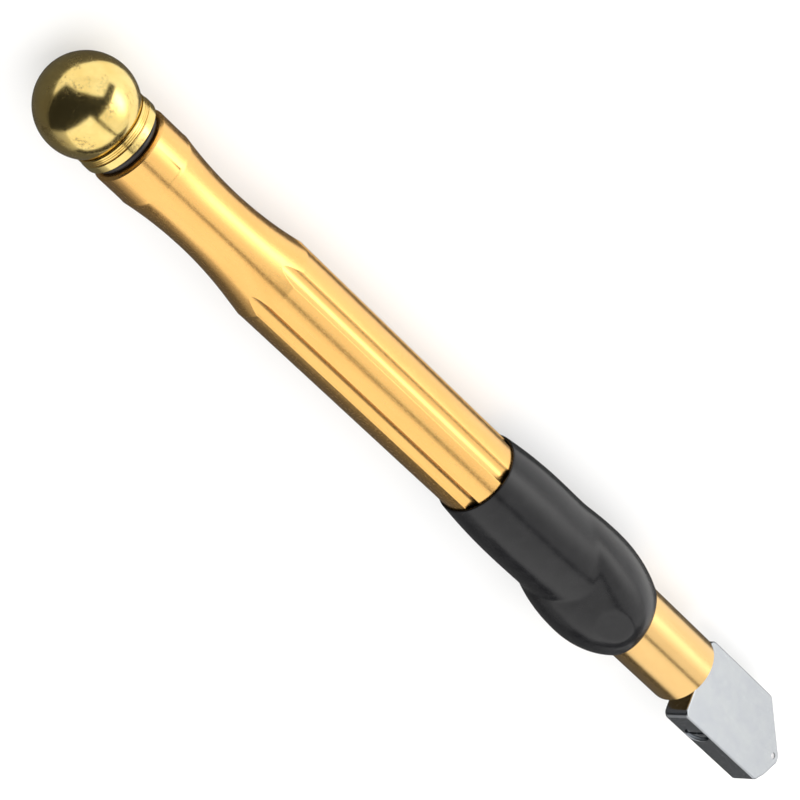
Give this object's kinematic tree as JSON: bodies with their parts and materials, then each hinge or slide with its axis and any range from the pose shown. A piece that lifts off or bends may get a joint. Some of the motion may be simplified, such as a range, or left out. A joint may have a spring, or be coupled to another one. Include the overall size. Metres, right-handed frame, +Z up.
{
  "type": "glass cutter",
  "caption": "Pencil-shaped oil-fed glass cutter with ball end, fluted barrel, dished finger grip and a swivelling flat head.",
  "frame": {"origin": "under the middle of the tool, at the lowest point of its grip", "axes": "+X along the tool from the end ball to the cutting wheel, +Z up out of the grip's upper finger dish, -Y the side of the larger belly; the head has swivelled 50 degrees from the dishes"},
  "size_m": [0.1748, 0.0174, 0.0159],
  "materials": {
    "brass": "polished, lightly tarnished",
    "bright_brass": "turned, bright",
    "anodised": "orange-gold anodised, satin gloss",
    "ferrule_gold": "pale gold, satin",
    "rubber": "moulded, semi-gloss",
    "seal": "semi-gloss",
    "nickel": "nickel-plated, satin",
    "steel": "turned",
    "spring": "drawn wire",
    "polymer": "natural",
    "felt": "soft felt",
    "carbide": "ground"
  },
  "bodies": {
    "handle": {"barrel": "anodised", "grip_sleeve": "rubber", "ferrule": "ferrule_gold", "ferrule_o_ring": "seal", "spring_retainer": "brass", "valve_seat": "polymer", "valve_spring": "spring"},
    "cap_seal": {"cap_o_ring": "seal"},
    "cap": {"end_ball": "brass", "ball_washer": "bright_brass", "filler_cap": "brass"},
    "plunger": {"swivel_stem": "steel", "stem_o_ring": "seal", "valve_needle": "steel", "oil_wick": "felt"},
    "head": {"head_block": "nickel", "axle_pin": "steel"},
    "screw_tip": {"lock_pad": "polymer"},
    "screw": {"lock_screw": "nickel"},
    "wheel": {"cutting_wheel": "carbide"}
  },
  "joints": [
    {"name": "cap_lift", "type": "slide", "parent": "handle", "child": "cap_seal", "axis": [-1, 0, 0], "range_m": [0, 0.006]},
    {"name": "cap_turn", "type": "hinge", "parent": "cap_seal", "child": "cap", "pos_m": [-0.0731, 0.00055, 0.00795], "axis": [-1, 0, 0], "range_deg": [0, 2160]},
    {"name": "head_press", "type": "slide", "parent": "handle", "child": "plunger", "axis": [-1, 0, 0], "range_m": [0, 0.0006], "stiffness_N_per_m": 1500, "springref_m": -0.0008, "deforming": ["valve_spring"]},
    {"name": "head_swivel", "type": "hinge", "parent": "plunger", "child": "head", "pos_m": [0.06885, 0.00055, 0.00795], "axis": [1, 0, 0], "continuous": true},
    {"name": "wheel_spin", "type": "hinge", "parent": "head", "child": "wheel", "pos_m": [0.08535, -0.00054, 0.00925], "axis": [0, 0.766, 0.6428], "continuous": true},
    {"name": "screw_back", "type": "slide", "parent": "head", "child": "screw_tip", "axis": [0, -0.6428, 0.766], "range_m": [0, 0.0005]},
    {"name": "screw_turn", "type": "hinge", "parent": "screw_tip", "child": "screw", "pos_m": [0.06885, -0.00266, 0.01178], "axis": [0, -0.6428, 0.766], "range_deg": [0, 360]}
  ],
  "couplings": [
    {"joint": "cap_lift", "follows": "cap_turn", "m_per_rad": 0.00015915},
    {"joint": "screw_back", "follows": "screw_turn", "m_per_rad": 0.000079577}
  ]
}
